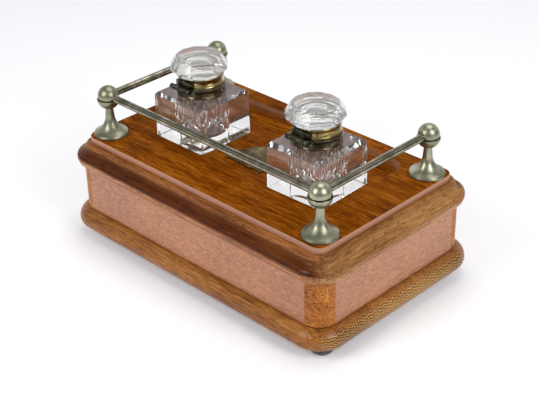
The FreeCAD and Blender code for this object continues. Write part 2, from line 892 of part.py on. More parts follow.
def make_inkwell(side, x, turn, bevel):
    """Square glass block with a bevelled top, a round neck and a round ink cavity."""
    body = new_body("inkwell_" + side)
    half = cell("well_half")
    low = -cell("well_recess")
    top = cell("well_height")
    sketch = new_sketch(body, "XY_Plane", "inkwell_%s_plan" % side, {"z": low})
    draw(sketch, rectangle(-half, -half, half, half))
    pad = extrude(body, sketch, top - low)
    dress(body, pad, "Chamfer", top, cell(bevel))
    neck = new_sketch(body, "XY_Plane", "inkwell_%s_neck" % side, {"z": top - 1})
    draw_circle(neck, 0, 0, cell("neck_radius"))
    extrude(body, neck, cell("neck_top") - top + 1)
    cavity = new_sketch(body, "XZ_Plane", "inkwell_%s_cavity" % side)
    wide = cell("cavity_radius")
    mouth = cell("mouth_radius")
    floor = cell("cavity_floor")
    shoulder = cell("cavity_top")
    bend = size(4)
    draw(cavity, [
        (0, floor),
        (wide - bend, floor, bend),
        (wide, floor + bend),
        (wide, shoulder),
        (mouth, shoulder + 3),
        (mouth, cell("neck_top") + 1),
        (0, cell("neck_top") + 1),
    ])
    revolve(body, cavity, kind="Groove")
    place(body, x, WELL_Y, TOP, turn)
    keep(body, "inkwell_" + side)


def ring(name, inner, outer, low, high, round_over):
    """A metal ring with softened outer edges, as half a section."""
    return turned(name, [
        (inner, low),
        (outer - round_over, low),
        (outer, low + round_over),
        (outer, high - round_over),
        (outer - round_over, high),
        (inner, high),
    ])


def knuckle(name, x0, x1):
    """One knuckle of the hinge barrel, in the well's own frame."""
    axis_z = cell("collar_top") + cell("lid_gap") / 2
    return lying_cylinder(name, cell("knuckle_radius"), size(x1) - x0,
                          x0, cell("hinge_back"), axis_z, "x")


def leaf(name, x0, x1, low, high, inner):
    """The web that joins a knuckle to its ring."""
    web = primitive("Box", name, Length=size(x1) - x0, Width=cell("hinge_back") - inner,
                    Height=size(high) - low)
    place(web, x0, inner, low)
    return web


def pin_hole(name, radius):
    axis_z = cell("collar_top") + cell("lid_gap") / 2
    half = cell("hinge_half") + 2
    return lying_cylinder(name, radius, half * 2, -half, cell("hinge_back"), axis_z, "x")


def make_collar(side, x, turn):
    """Fixed collar on the neck, with the two outer knuckles of the hinge."""
    low = cell("collar_foot")
    high = cell("collar_top")
    outer = cell("collar_radius")
    band = ring("collar_band_" + side, cell("plaster_radius"), outer, low, high, 0.5)
    start = cell("knuckle_lid_half") + cell("hinge_gap")
    end = cell("hinge_half")
    pieces = [band]
    for hand, x0, x1 in (("a", -end, -start), ("b", start, end)):
        pieces.append(knuckle("collar_knuckle_%s_%s" % (side, hand), x0, x1))
        pieces.append(leaf("collar_leaf_%s_%s" % (side, hand), x0, x1, high - 6, high,
                           cell("plaster_radius") - 1))
    whole = fuse("collar_whole_" + side, pieces)
    bore = cylinder("collar_bore_" + side, cell("plaster_radius"), high - low + 2, z=low - 1)
    holes = fuse("collar_holes_" + side, [bore, pin_hole("collar_pin_hole_" + side,
                                                         cell("hinge_pin"))])
    collar = cut("collar_cut_" + side, whole, holes)
    place(collar, x, WELL_Y, TOP, turn)
    keep(collar, "collar_" + side)
    plaster = turned("plaster_" + side, [
        (cell("neck_radius"), low),
        (cell("plaster_radius"), low),
        (cell("plaster_radius"), cell("neck_top")),
        (cell("neck_radius"), cell("neck_top")),
    ], x, WELL_Y, TOP)
    keep(plaster, "collar_plaster_" + side)
    half = cell("hinge_half")
    axis_z = high + cell("lid_gap") / 2
    pin = lying_cylinder("pin_rod_" + side, cell("hinge_pin"), half * 2,
                         -half, cell("hinge_back"), axis_z, "x")
    holder = group("pin_" + side, [pin])
    place(holder, x, WELL_Y, TOP, turn)
    keep(holder, "hinge_pin_" + side)


def make_lid(side, x, turn):
    """Lid ring with the middle knuckle, and the cut-glass lid set in it."""
    low = cell("collar_top") + cell("lid_gap")
    high = cell("ring_top")
    inner = cell("ring_inner")
    band = ring("lid_band_" + side, inner, cell("ring_radius"), low, high, 0.5)
    half = cell("knuckle_lid_half")
    pieces = [
        band,
        knuckle("lid_knuckle_" + side, -half, half),
        leaf("lid_leaf_" + side, -half, half, low, low + 6, inner - 1),
    ]
    whole = fuse("lid_whole_" + side, pieces)
    bore = cylinder("lid_bore_" + side, inner, high - low + 2, z=low - 1)
    pin = pin_hole("lid_pin_hole_" + side, cell("hinge_pin") + cell("running_gap"))
    lid_ring = cut("lid_cut_" + side, whole, fuse("lid_holes_" + side, [bore, pin]))
    place(lid_ring, x, WELL_Y, TOP, turn)
    keep(lid_ring, "lid_ring_" + side)

    levels = (
        (high, cell("lid_low_radius")),
        (cell("lid_wide_low"), cell("lid_wide_radius")),
        (cell("lid_wide_high"), cell("lid_wide_radius")),
        (cell("lid_top"), cell("lid_top_radius")),
    )
    outlines = []
    for i, (height, radius) in enumerate(levels):
        outline = primitive("RegularPolygon", "lid_outline_%s_%d" % (side, i), Circumradius=radius)
        outline.Polygon = 12
        place(outline, z=height)
        outlines.append(outline)
    crown = DOC.addObject("Part::Loft", "lid_crown_" + side)
    crown.Sections = outlines
    crown.Solid = True
    crown.Ruled = True
    spigot = cylinder("lid_spigot_" + side, cell("lid_spigot"), 7, z=high - 6.5)
    glass = fuse("lid_glass_" + side, [crown, spigot])
    place(glass, x, WELL_Y, TOP, turn)
    keep(glass, "lid_glass_" + side)


def make_wells():
    for side, x, turn, bevel in WELLS:
        make_inkwell(side, x, turn, bevel)
        make_collar(side, x, turn)
        make_lid(side, x, turn)


# ---- drawer ----------------------------------------------------------------

DRAWER_LOW = BODY_LOW + SLIDE_GAP
DRAWER_X = CORNER_X - cell("drawer_gap")
DRAWER_FRONT = -WALL_Y
DRAWER_BACK = DRAWER_FRONT + cell("drawer_depth")
KNOB_HEIGHT = (BODY_LOW + MOULDING_LOW) / 2


def make_drawer_front():
    """Drawer front, flush with the corner posts, drilled for the knob screws."""
    thick = cell("drawer_front_thick")
    high = MOULDING_LOW - cell("drawer_gap")
    front = block("drawer_front_board", -DRAWER_X, DRAWER_X, DRAWER_FRONT, DRAWER_FRONT + thick,
                  DRAWER_LOW, high)
    holes = [
        lying_cylinder("knob_hole_" + side, SCREW, thick + 2, sign * cell("knob_spacing"),
                       DRAWER_FRONT - 1, KNOB_HEIGHT, "y")
        for side, sign in SIDES
    ]
    keep(cut("drawer_front_cut", front, fuse("knob_holes", holes)), "drawer_front")


def make_drawer_box():
    front = DRAWER_FRONT + cell("drawer_front_thick")
    side_thick = cell("drawer_side_thick")
    top = DRAWER_LOW + cell("drawer_side_height")
    inner = DRAWER_X - side_thick
    back = DRAWER_BACK - side_thick
    keep(block("drawer_board_left", -DRAWER_X, -inner, front, DRAWER_BACK, DRAWER_LOW, top),
         "drawer_side_left")
    keep(block("drawer_board_right", inner, DRAWER_X, front, DRAWER_BACK, DRAWER_LOW, top),
         "drawer_side_right")
    keep(block("drawer_board_back", -inner, inner, back, DRAWER_BACK, DRAWER_LOW, top),
         "drawer_back")
    floor = DRAWER_LOW + cell("drawer_bottom_lift")
    keep(block("drawer_floor", -inner, inner, front, back, floor,
               floor + cell("drawer_bottom_thick")), "drawer_bottom")


def make_knobs():
    """Small turned knobs, and the screws that hold them from inside the drawer."""
    radius = cell("knob_radius")
    reach = cell("knob_reach")
    rise = size(3)
    dome = (radius * radius + rise * rise) / (rise * 2)
    screws = []
    for side, sign in SIDES:
        x = sign * cell("knob_spacing")
        knob = turned("knob_turning_" + side, [
            (0, 3),
            (SCREW, 3),
            (SCREW, 0),
            (radius * 0.62, 0),
            (radius * 0.62, 0.8),
            (radius * 0.42, 2.4),
            (radius, reach - rise, dome),
            (0, reach),
        ])
        knob.Placement = FreeCAD.Placement(V(0, 0, 0), FreeCAD.Rotation(V(1, 0, 0), 90))
        for axis, amount in (("x", x), ("y", DRAWER_FRONT), ("z", KNOB_HEIGHT)):
            bind(knob, "Placement.Base.%s" % axis, amount)
        keep(knob, "drawer_knob_" + side)
        thick = cell("drawer_front_thick")
        shank = lying_cylinder("knob_shank_" + side, SCREW, thick + 2.9, x, DRAWER_FRONT - 2.9,
                               KNOB_HEIGHT, "y")
        head = lying_cylinder("knob_head_" + side, HEAD, 1.8, x, DRAWER_FRONT + thick,
                              KNOB_HEIGHT, "y")
        screws.append(fuse("knob_screw_" + side, [shank, head]))
    keep(group("knob_screw_set", screws), "drawer_knob_screws")


def make_drawer_guides():
    """Guide strips beside the drawer and the stops behind it."""
    low_y = -CORNER_Y
    high_y = CORNER_Y
    top = BODY_LOW + 20
    keep(block("guide_left", -WALL_IN_X, -CORNER_X, low_y, high_y, BODY_LOW, top),
         "drawer_guide_left")
    keep(block("guide_right", CORNER_X, WALL_IN_X, low_y, high_y, BODY_LOW, top),
         "drawer_guide_right")
    stops = []
    for side, sign in SIDES:
        stop = primitive("Box", "stop_" + side, Length=20, Width=WALL_IN_Y - DRAWER_BACK - 0.3,
                         Height=15)
        place(stop, sign * size(90) - 10, DRAWER_BACK + 0.3, BODY_LOW)
        stops.append(stop)
    keep(group("stop_set", stops), "drawer_stops")


# ---- build, check and write ------------------------------------------------

def check():
    """Stop at any object that failed to compute, and at any sub-part that isn't whole."""
    DOC.recompute()
    bad = [o.Label for o in DOC.Objects if "Invalid" in o.State or "Error" in o.State]
    if bad:
        raise RuntimeError("failed objects: " + ", ".join(bad))
    for thing in PARTS:
        shape = thing.Shape
        if shape.isNull() or not shape.isValid() or not shape.Solids:
            raise RuntimeError("bad shape: " + thing.Label)


def write():
    os.makedirs("parts", exist_ok=True)
    for thing in PARTS:
        thing.Shape.exportStep("parts/%s.step" % thing.Label)
        box = thing.Shape.BoundBox
        print("%-28s solids %d  volume %9.1f mm3  x %7.1f %7.1f  y %7.1f %7.1f  z %6.1f %6.1f" % (
            thing.Label, len(thing.Shape.Solids), thing.Shape.Volume,
            box.XMin, box.XMax, box.YMin, box.YMax, box.ZMin, box.ZMax))


make_base()
make_feet()
make_walls()
make_corner_posts()
make_mouldings()
make_top()
make_plaque()
make_screws()
make_gallery()
make_rails()
make_wells()
make_drawer_front()
make_drawer_box()
make_knobs()
make_drawer_guides()
check()
write()
print(len(PARTS), "sub-parts")
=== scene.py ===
"""Looks of the desk inkstand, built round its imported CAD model.

Metres, in the CAD frame: X along the box, +Y to the closed side of the gallery, +Z up.
"""
import math

import bpy
from mathutils import Matrix, Vector


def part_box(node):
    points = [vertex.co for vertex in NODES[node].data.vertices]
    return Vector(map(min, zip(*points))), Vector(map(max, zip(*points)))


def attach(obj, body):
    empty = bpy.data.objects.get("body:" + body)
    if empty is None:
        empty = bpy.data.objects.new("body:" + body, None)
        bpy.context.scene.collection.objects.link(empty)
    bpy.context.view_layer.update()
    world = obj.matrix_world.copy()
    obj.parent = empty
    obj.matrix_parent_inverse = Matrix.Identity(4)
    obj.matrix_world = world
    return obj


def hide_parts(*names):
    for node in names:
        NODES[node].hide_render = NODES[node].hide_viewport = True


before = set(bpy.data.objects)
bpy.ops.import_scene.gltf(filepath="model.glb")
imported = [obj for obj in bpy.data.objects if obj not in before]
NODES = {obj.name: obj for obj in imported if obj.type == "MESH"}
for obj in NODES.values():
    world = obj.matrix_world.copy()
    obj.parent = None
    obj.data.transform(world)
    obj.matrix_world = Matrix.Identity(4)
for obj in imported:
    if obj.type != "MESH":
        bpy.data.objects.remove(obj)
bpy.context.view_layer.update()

MM = 0.001
BOARD_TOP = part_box("top_board")[1].z
BOARD_HALF_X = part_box("top_board")[1].x
BOARD_HALF_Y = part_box("top_board")[1].y
BODY_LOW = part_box("wall_rear")[0].z
BASE_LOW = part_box("base_board")[0].z
MOULDING_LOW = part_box("moulding_rear")[0].z
SEAM_DROP = 0.0052      # from the top of a post's stud down to the joint round its ball
BALL_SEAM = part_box("gallery_post_rear_left")[1].z - SEAM_DROP
RING = 192              # points round every turned or faceted glass piece
SIDES = ("left", "right")
CORNERS = ("front_left", "front_right", "rear_left", "rear_right")


# ---- node trees ------------------------------------------------------------

class Tree:
    """An emptied node tree, with short calls for the nodes used here."""

    def __init__(self, node_tree):
        self.nodes = node_tree.nodes
        self.links = node_tree.links
        self.nodes.clear()

    def feed(self, socket, value):
        if isinstance(value, bpy.types.NodeSocket):
            self.links.new(value, socket)
        elif isinstance(value, (tuple, list)) and len(value) == 3 and socket.type == "RGBA":
            socket.default_value = (*value, 1.0)
        else:
            socket.default_value = value

    def coords(self):
        return self.nodes.new("ShaderNodeTexCoord").outputs["Object"]

    def normal(self):
        return self.nodes.new("ShaderNodeNewGeometry").outputs["Normal"]

    def split(self, vector):
        node = self.nodes.new("ShaderNodeSeparateXYZ")
        self.feed(node.inputs[0], vector)
        return node.outputs

    def join(self, x, y, z):
        node = self.nodes.new("ShaderNodeCombineXYZ")
        for socket, value in zip(node.inputs, (x, y, z)):
            self.feed(socket, value)
        return node.outputs[0]

    def calc(self, operation, a, b=0.0):
        node = self.nodes.new("ShaderNodeMath")
        node.operation = operation
        self.feed(node.inputs[0], a)
        self.feed(node.inputs[1], b)
        return node.outputs[0]

    def away(self, value, gain):
        """How far a 0 to 1 noise is from its middle, times gain."""
        return self.calc("MULTIPLY", self.calc("SUBTRACT", value, 0.5), gain)

    def fit(self, value, low, high, to_low=0.0, to_high=1.0, smooth=True):
        node = self.nodes.new("ShaderNodeMapRange")
        node.interpolation_type = "SMOOTHSTEP" if smooth else "LINEAR"
        for socket, number in zip(node.inputs, (value, low, high, to_low, to_high)):
            self.feed(socket, number)
        return node.outputs[0]

    def vector(self, operation, a, b):
        node = self.nodes.new("ShaderNodeVectorMath")
        node.operation = operation
        self.feed(node.inputs[0], a)
        self.feed(node.inputs[1], b)
        return node.outputs["Value" if operation == "DOT_PRODUCT" else "Vector"]

    def noise(self, vector, scale, detail=2.0, rough=0.5, colour=False):
        node = self.nodes.new("ShaderNodeTexNoise")
        self.feed(node.inputs["Vector"], vector)
        node.inputs["Scale"].default_value = scale
        node.inputs["Detail"].default_value = detail
        node.inputs["Roughness"].default_value = rough
        return node.outputs["Color" if colour else "Fac"]

    def ramp(self, value, *stops):
        """stops are (place, colour)."""
        node = self.nodes.new("ShaderNodeValToRGB")
        self.feed(node.inputs[0], value)
        points = node.color_ramp.elements
        while len(points) < len(stops):
            points.new(0.5)
        for point, (place, colour) in zip(points, stops):
            point.position = place
            point.color = (*colour, 1.0)
        return node.outputs[0]

    def mix(self, share, a, b, blend="MIX"):
        node = self.nodes.new("ShaderNodeMix")
        node.data_type = "RGBA"
        node.blend_type = blend
        node.clamp_factor = True
        for index, value in ((0, share), (6, a), (7, b)):
            self.feed(node.inputs[index], value)
        return node.outputs[2]

    def bump(self, height, strength, distance):
        node = self.nodes.new("ShaderNodeBump")
        node.inputs["Strength"].default_value = strength
        node.inputs["Distance"].default_value = distance
        self.feed(node.inputs["Height"], height)
        return node.outputs[0]


class Surface(Tree):
    """A new material with one principled shader."""

    def __init__(self, name):
        self.material = bpy.data.materials.new(name)
        self.material.use_nodes = True
        super().__init__(self.material.node_tree)
        output = self.nodes.new("ShaderNodeOutputMaterial")
        self.shader = self.nodes.new("ShaderNodeBsdfPrincipled")
        self.links.new(self.shader.outputs[0], output.inputs[0])

    def set(self, **values):
        """Values or links for the shader, with _ for each space in a socket's name."""
        for name, value in values.items():
            words = name.replace("_", " ")
            socket = next(s for s in self.shader.inputs if s.name.lower() == words.lower())
            self.feed(socket, value)
        return self


def srgb(red, green, blue):
    """A colour given as it looks on a screen, 0 to 255, made linear."""
    def linear(level):
        level /= 255
        return level / 12.92 if level <= 0.04045 else ((level + 0.055) / 1.055) ** 2.4
    return tuple(linear(level) for level in (red, green, blue))


# ---- wood ------------------------------------------------------------------

MITRE_SOFT = 0.012      # half the width over which one side's look turns into the next
MITRE_WANDER = 0.010    # how far that change wanders


def three_tones(tree, tone, tones):
    """A colour between dark, middle and light tones."""
    dark, middle, light = tones
    return tree.ramp(tone, (0.22, dark), (0.50, middle), (0.80, light))


def mitred_colour(tree, here, tone, cloud):
    """The long sides' look and the short sides' look, which meet softly at the mitres."""
    east, north, _ = tree.split(tree.vector("ABSOLUTE", here, (0, 0, 0)))
    lead = tree.calc("SUBTRACT", tree.calc("SUBTRACT", east, BOARD_HALF_X),
                     tree.calc("SUBTRACT", north, BOARD_HALF_Y))
    lead = tree.calc("ADD", lead, tree.away(cloud, MITRE_WANDER))
    turned = tree.fit(lead, -MITRE_SOFT, MITRE_SOFT)
    # The long sides' look holds painted shade and dark reflection as well as the wood's tone.
    looks = [tree.mix(1.0, three_tones(tree, tone, tones), shade(tree, here, cloud), "MULTIPLY")
             for tones, shade in MITRED]
    return tree.mix(turned, *looks)


def end_grain(tree, order, board, cloud, tones):
    """Colour and height where the grain is cut across: pores as dots, and close wavy ridges."""
    _, across, up = order
    rings = tree.noise(tree.join(0.0, tree.calc("MULTIPLY", across, 300.0),
                                 tree.calc("MULTIPLY", up, 220.0)), 1.0, 3.0, 0.6)
    zigzag = tree.calc("PINGPONG", across, 0.0030)
    slope = tree.calc("ADD", tree.calc("MULTIPLY", up, 3000.0),
                      tree.calc("MULTIPLY", zigzag, 1500.0))
    wave = tree.calc("SINE", tree.calc("ADD", slope, tree.calc("MULTIPLY", rings, 9.0)))
    dots = tree.noise(board, 1500.0, 2.0, 0.6)
    tone = tree.calc("ADD", tree.calc("ADD", tree.calc("MULTIPLY", wave, 0.24), 0.5),
                     tree.calc("ADD", tree.away(dots, 0.6), tree.away(cloud, 0.5)))
    dark, middle, light = tones
    colour = tree.ramp(tone, (0.25, dark), (0.50, middle), (0.78, light))
    return colour, tree.calc("ADD", tree.calc("MULTIPLY", wave, 0.5), dots)


def wood(name, along, tones, end_tones=None, offset=(0, 0, 0), gloss=0.5, rough=0.4,
         figure=1.0, shade=None, sheen=0.5, dull_top_painted_edges=False, pore=0.6, fleck=1.0, ends=True,
         mitred=False):
    """Polished mahogany. along is the axis of the grain, and ends says if end grain shows.

    tones are dark, middle and light colours, for the end grain too unless end_tones is given.
    shade takes the tree, the coordinates and a noise, and returns a colour that darkens the
    wood with painted shade, and on the moulding with dirt as well. A higher fleck gives shorter
    streaks. dull_top_painted_edges keeps the polish on the upright faces only, and paints those
    faces paler as a painted reflection of the white room. mitred takes the moulding's two looks
    from MITRED, and leaves tones to the pores.
    """
    tree = Surface(name)
    here = tree.coords()
    x, y, z = tree.split(tree.vector("ADD", here, offset))
    order = {"x": (x, y, z), "y": (y, z, x), "z": (z, x, y)}[along]
    board = tree.join(*order)

    def streaks(length, thickness, detail, roughness):
        scale = (length, thickness, thickness)
        return tree.noise(tree.vector("MULTIPLY", grain, scale), 1.0, detail, roughness)

    sway = tree.noise(tree.vector("MULTIPLY", board, (5.0, 14.0, 14.0)), 1.0, 2.0, colour=True)
    sway = tree.vector("MULTIPLY", tree.vector("SUBTRACT", sway, (0.5, 0.5, 0.5)),
                       (0.0, 0.010, 0.010))
    grain = tree.vector("ADD", board, sway)
    broad = streaks(7.0, 95.0, 3.0, 0.6)
    fibre = streaks(60.0 * fleck, 900.0, 3.0, 0.65)
    pores = streaks(170.0 * fleck, 1150.0, 2.0, 0.5)
    cloud = tree.noise(here, 16.0, 3.0, 0.55)

    tone = tree.calc("ADD", tree.away(broad, 0.60 * figure), tree.away(fibre, 1.25))
    tone = tree.calc("ADD", tree.calc("ADD", tone, tree.away(cloud, 0.40)), 0.5)
    if mitred:
        colour = mitred_colour(tree, here, tone, cloud)
    else:
        colour = three_tones(tree, tone, tones)
    pits = tree.fit(pores, 0.56, 0.70)
    colour = tree.mix(tree.calc("MULTIPLY", pits, pore), colour,
                      tuple(level * 0.40 for level in tones[0]))
    height = tree.calc("SUBTRACT", tree.calc("MULTIPLY", fibre, 0.5), pits)

    if ends:
        end_colour, end_height = end_grain(tree, order, board, cloud, end_tones or tones)
        axis = {"x": (1, 0, 0), "y": (0, 1, 0), "z": (0, 0, 1)}[along]
        facing = tree.calc("ABSOLUTE", tree.vector("DOT_PRODUCT", tree.normal(), axis))
        is_end = tree.fit(facing, 0.55, 0.85)
        colour = tree.mix(is_end, colour, end_colour)
        height = tree.calc("ADD",
                           tree.calc("MULTIPLY", height, tree.calc("SUBTRACT", 1.0, is_end)),
                           tree.calc("MULTIPLY", end_height, is_end))
    if dull_top_painted_edges:
        level = tree.calc("ABSOLUTE", tree.vector("DOT_PRODUCT", tree.normal(), (0, 0, 1)))
        # Painted reflection: the upright faces are paled towards the white room seen in their
        # polish.
        colour = tree.mix(tree.fit(level, 0.35, 0.90, 0.75, 0.0), colour, PAINTED_EDGE_REFLECTION)
        gloss = tree.fit(level, 0.35, 0.90, gloss, 0.0)
    if shade is not None:
        colour = tree.mix(1.0, colour, shade(tree, here, cloud), "MULTIPLY")

    tree.set(base_color=colour, normal=tree.bump(height, 0.25, 0.0002),
             roughness=tree.fit(cloud, 0.3, 0.7, rough - 0.06, rough + 0.08),
             specular_ior_level=sheen, coat_roughness=0.16, coat_ior=1.5, coat_weight=gloss)
    return tree.material


def painted_shade_by_height(low, *stops):
    """Painted shade and dirt by height: stops are (millimetres above low, factor), and brown where
    it is dark.
    """
    def shade(tree, here, cloud):
        first, last = stops[0][0], stops[-1][0]
        z = tree.split(here)[2]
        z = tree.calc("ADD", z, tree.away(cloud, 0.0018))
        place = tree.fit(z, low + first * MM, low + last * MM, smooth=False)
        return tree.ramp(place, *[((h - first) / (last - first),
                                   (f, f ** 1.4, f ** 2.4)) for h, f in stops])
    return shade


PAINTED_EDGE_REFLECTION = srgb(184, 134, 106)         # painted reflection: the white room in the polish of the top board's upright edges
TOP_TONES = (srgb(72, 28, 0), srgb(130, 67, 4), srgb(180, 108, 26))
MOULD_TONES = (srgb(118, 72, 44), srgb(180, 122, 84), srgb(222, 164, 118))
MOULD_END_TONES = (srgb(124, 86, 54), srgb(182, 136, 92), srgb(218, 172, 124))
BODY_TONES = (srgb(138, 82, 46), srgb(173, 111, 70), srgb(200, 140, 94))
POST_TONES = (srgb(100, 46, 6), srgb(172, 98, 28), srgb(220, 156, 56))
BASE_TONES = (srgb(96, 50, 12), srgb(148, 90, 34), srgb(188, 128, 60))
END_TONES = (srgb(70, 42, 14), srgb(140, 96, 44), srgb(200, 154, 88))
INNER_TONES = (srgb(150, 110, 66), srgb(180, 140, 92), srgb(202, 164, 116))

# Dirt, old dark polish and painted shade on the moulding, by height above its foot: the hollow
# and the joints are darkened for dirt and for the shade that falls there. On the long sides it
# is darkest from the nose to the hollow, partly as a painted dark reflection, and lighter below
# and above; the short sides are lighter.
MOULD_SHADE = painted_shade_by_height(MOULDING_LOW, (0.0, 0.35), (3.0, 1.0), (8.6, 0.85), (11.0, 0.16),
                      (17.5, 0.24), (20.4, 0.55))
MOULD_END_SHADE = painted_shade_by_height(MOULDING_LOW, (0.0, 0.45), (2.0, 1.0), (9.8, 0.55), (17.0, 0.70),
                          (22.8, 0.50))
# Painted shade: the walls and posts are darker at their foot and just under the moulding, and the
# base at its foot and its top edge.
BODY_SHADE = painted_shade_by_height(BODY_LOW, (0.0, 0.35), (1.2, 0.92), (3.0, 1.0), (39.0, 1.0), (40.0, 0.90),
                     (40.6, 0.45))
BASE_SHADE = painted_shade_by_height(BASE_LOW, (0.0, 0.45), (3.5, 0.90), (7.5, 1.0), (18.3, 1.0), (19.6, 0.75))

# The long sides of the moulding are darker than the short sides: partly the wood itself, partly
# painted shade and dark reflection, as less light falls on the long sides.
MITRED = ((MOULD_TONES, MOULD_SHADE), (MOULD_END_TONES, MOULD_END_SHADE))
MOULDING = {"gloss": 0.25, "rough": 0.42, "figure": 1.6, "sheen": 0.05, "pore": 0.9,
            "ends": False, "mitred": True}
BODY = {"rough": 0.45, "figure": 0.5, "shade": BODY_SHADE, "fleck": 3.0, "pore": 0.45}
INNER = {"gloss": 0.0, "rough": 0.70}
WOODS = {
    "top": wood("wood_top", "x", TOP_TONES, gloss=1.0, rough=0.50, sheen=0.01, dull_top_painted_edges=True,
                fleck=0.8, pore=0.8),
    "mould_x": wood("wood_mould_x", "x", MOULD_TONES, offset=(0.3, 0.1, 0), **MOULDING),
    "mould_y": wood("wood_mould_y", "y", MOULD_TONES, offset=(0.7, 0.4, 0), **MOULDING),
    "body_x": wood("wood_body_x", "x", BODY_TONES, offset=(0.2, 0.5, 0), gloss=0.45, **BODY),
    "body_y": wood("wood_body_y", "y", BODY_TONES, offset=(0.9, 0.5, 0), gloss=0.5, **BODY),
    "post": wood("wood_post", "x", POST_TONES, offset=(0.4, 0.2, 0), gloss=0.15, rough=0.45,
                 shade=BODY_SHADE, sheen=0.2, ends=False),
    "base": wood("wood_base", "x", BASE_TONES, END_TONES, offset=(0.1, 0.8, 0), gloss=0.25,
                 rough=0.42, shade=BASE_SHADE, sheen=0.2),
    "inner_x": wood("wood_inner_x", "x", INNER_TONES, offset=(0, 0, 0.3), **INNER),
    "inner_y": wood("wood_inner_y", "y", INNER_TONES, offset=(0, 0, 0.6), **INNER),
}


def foot_wood():
    """Black-stained turned wood."""
    tree = Surface("wood_foot")
    here = tree.coords()
    turned = tree.noise(tree.vector("MULTIPLY", here, (260.0, 260.0, 2400.0)), 1.0, 3.0)
    patch = tree.noise(here, 180.0, 3.0)
    colour = tree.ramp(patch, (0.35, srgb(34, 26, 22)), (0.55, srgb(52, 41, 34)),
                       (0.75, srgb(82, 62, 46)))
    tree.set(base_color=colour, roughness=tree.fit(patch, 0.3, 0.7, 0.32, 0.55),
             normal=tree.bump(turned, 0.3, 0.0002), coat_weight=0.4, coat_roughness=0.2)
    return tree.material


# ---- metals, plaster and glass ---------------------------------------------

def metal(name, tones, rough, marks=0.25, grain=(1.0, 1.0, 1.0), scale=90.0, seam=False):
    """Old plated metal: tones from tarnished to bright, with fine rubbing marks.

    seam darkens the joint round each gallery ball.
    """
    tree = Surface(name)
    here = tree.coords()
    cloud = tree.noise(here, scale, 4.0, 0.6)
    rub = tree.noise(tree.vector("MULTIPLY", here, tuple(900.0 * g for g in grain)), 1.0, 3.0, 0.6)
    tone = tree.calc("ADD", tree.calc("MULTIPLY", cloud, 0.75), tree.calc("MULTIPLY", rub, 0.25))
    colour = tree.ramp(tone, (0.34, tones[0]), (0.50, tones[1]), (0.66, tones[2]))
    if seam:
        off = tree.calc("ABSOLUTE", tree.calc("SUBTRACT", tree.split(here)[2], BALL_SEAM))
        colour = tree.mix(tree.fit(off, 0.00015, 0.00045, 0.9, 0.0), colour, srgb(30, 28, 22))
    tree.set(base_color=colour, metallic=1.0,
             roughness=tree.fit(tone, 0.3, 0.7, rough + 0.10, rough - 0.04),
             normal=tree.bump(rub, marks, 0.00006))
    return tree.material


def plaster():
    """The plaster that beds each collar on its well."""
    tree = Surface("plaster")
    here = tree.coords()
    grit = tree.noise(here, 2600.0, 3.0)
    tree.set(base_color=tree.ramp(grit, (0.3, srgb(176, 166, 146)), (0.7, srgb(216, 208, 190))),
             roughness=0.9, normal=tree.bump(grit, 0.4, 0.0002))
    return tree.material


def glass(name, wear, clear):
    """Cut glass; wear is how rough its patches get, and clear the share of light let through."""
    tree = Surface(name)
    here = tree.coords()
    ripple = tree.noise(here, 120.0, 2.0)
    tree.set(base_color=(0.985, 0.99, 0.985), transmission_weight=clear, ior=1.50,
             roughness=tree.fit(tree.noise(here, 240.0, 3.0), 0.55, 0.75, 0.0, wear),
             normal=tree.bump(ripple, 0.04, 0.0001))
    return tree.material


FOOT = foot_wood()
NICKEL = metal("nickel", (srgb(116, 118, 98), srgb(152, 152, 128), srgb(184, 180, 156)), 0.33,
               marks=0.02, scale=45.0, seam=True)
RAIL_TONES = (srgb(96, 92, 76), srgb(146, 142, 122), srgb(190, 182, 160))
RAIL_X = metal("nickel_rail_x", RAIL_TONES, 0.16, marks=0.05, grain=(0.05, 1.6, 1.6))
RAIL_Y = metal("nickel_rail_y", RAIL_TONES, 0.16, marks=0.05, grain=(1.6, 0.05, 1.6))
BRASS = metal("brass_lid", (srgb(86, 76, 44), srgb(150, 132, 82), srgb(202, 184, 130)), 0.20,
              marks=0.10, scale=120.0)
BRONZE = metal("brass_collar", (srgb(52, 48, 36), srgb(88, 80, 60), srgb(134, 120, 96)), 0.26,
               scale=120.0)
TARNISH = metal("brass_hinge", (srgb(38, 36, 28), srgb(70, 68, 54), srgb(112, 108, 88)), 0.34,
                scale=300.0)
STEEL = metal("steel", (srgb(110, 108, 104), srgb(148, 146, 142), srgb(178, 176, 172)), 0.30)
PLATE = metal("nickel_plate", (srgb(60, 50, 28), srgb(96, 82, 50), srgb(140, 122, 82)), 0.34,
              grain=(1.6, 0.2, 1.0))
PLASTER = plaster()
CUT_GLASS = glass("cut_glass", 0.04, 0.97)
LID_GLASS = glass("lid_cut_glass", 0.08, 0.88)


def paint(material, *names):
    """Give the named CAD nodes one material."""
    for name in names:
        mesh = NODES[name].data
        mesh.materials.clear()
        mesh.materials.append(material)


